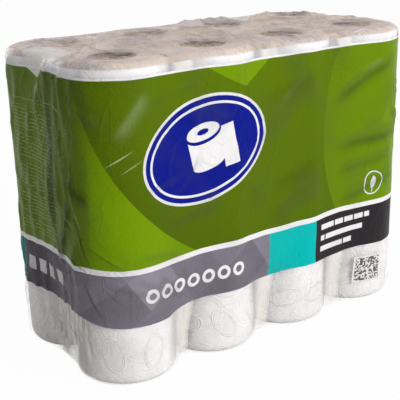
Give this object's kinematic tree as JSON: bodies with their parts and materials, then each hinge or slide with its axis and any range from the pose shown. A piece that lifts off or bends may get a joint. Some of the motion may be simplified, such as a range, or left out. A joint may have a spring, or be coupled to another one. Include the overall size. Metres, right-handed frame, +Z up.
{
  "type": "toilet paper roll pack",
  "caption": "Shrunk film pack of upright toilet paper rolls in three layers, with see-through ends and a printed middle, standing on its folded base.",
  "frame": {"origin": "middle of the pack's footprint, on the surface that it stands on", "axes": "+X along the pack's length, -Y towards its front, +Z up along the rolls"},
  "size_m": [0.3768, 0.1888, 0.2911],
  "materials": {
    "film": "glossy printed film",
    "paper": "soft embossed tissue",
    "card": "plain grey-brown board"
  },
  "bodies": {
    "root": {"film_wrap": "film", "roll_bottom_front_1": "paper", "core_bottom_front_1": "card", "roll_bottom_front_2": "paper", "core_bottom_front_2": "card", "roll_bottom_front_3": "paper", "core_bottom_front_3": "card", "roll_bottom_front_4": "paper", "core_bottom_front_4": "card", "roll_bottom_rear_1": "paper", "core_bottom_rear_1": "card", "roll_bottom_rear_2": "paper", "core_bottom_rear_2": "card", "roll_bottom_rear_3": "paper", "core_bottom_rear_3": "card", "roll_bottom_rear_4": "paper", "core_bottom_rear_4": "card", "roll_middle_front_1": "paper", "core_middle_front_1": "card", "roll_middle_front_2": "paper", "core_middle_front_2": "card", "roll_middle_front_3": "paper", "core_middle_front_3": "card", "roll_middle_front_4": "paper", "core_middle_front_4": "card", "roll_middle_rear_1": "paper", "core_middle_rear_1": "card", "roll_middle_rear_2": "paper", "core_middle_rear_2": "card", "roll_middle_rear_3": "paper", "core_middle_rear_3": "card", "roll_middle_rear_4": "paper", "core_middle_rear_4": "card", "roll_top_front_1": "paper", "core_top_front_1": "card", "roll_top_front_2": "paper", "core_top_front_2": "card", "roll_top_front_3": "paper", "core_top_front_3": "card", "roll_top_front_4": "paper", "core_top_front_4": "card", "roll_top_rear_1": "paper", "core_top_rear_1": "card", "roll_top_rear_2": "paper", "core_top_rear_2": "card", "roll_top_rear_3": "paper", "core_top_rear_3": "card", "roll_top_rear_4": "paper", "core_top_rear_4": "card"}
  },
  "joints": []
}
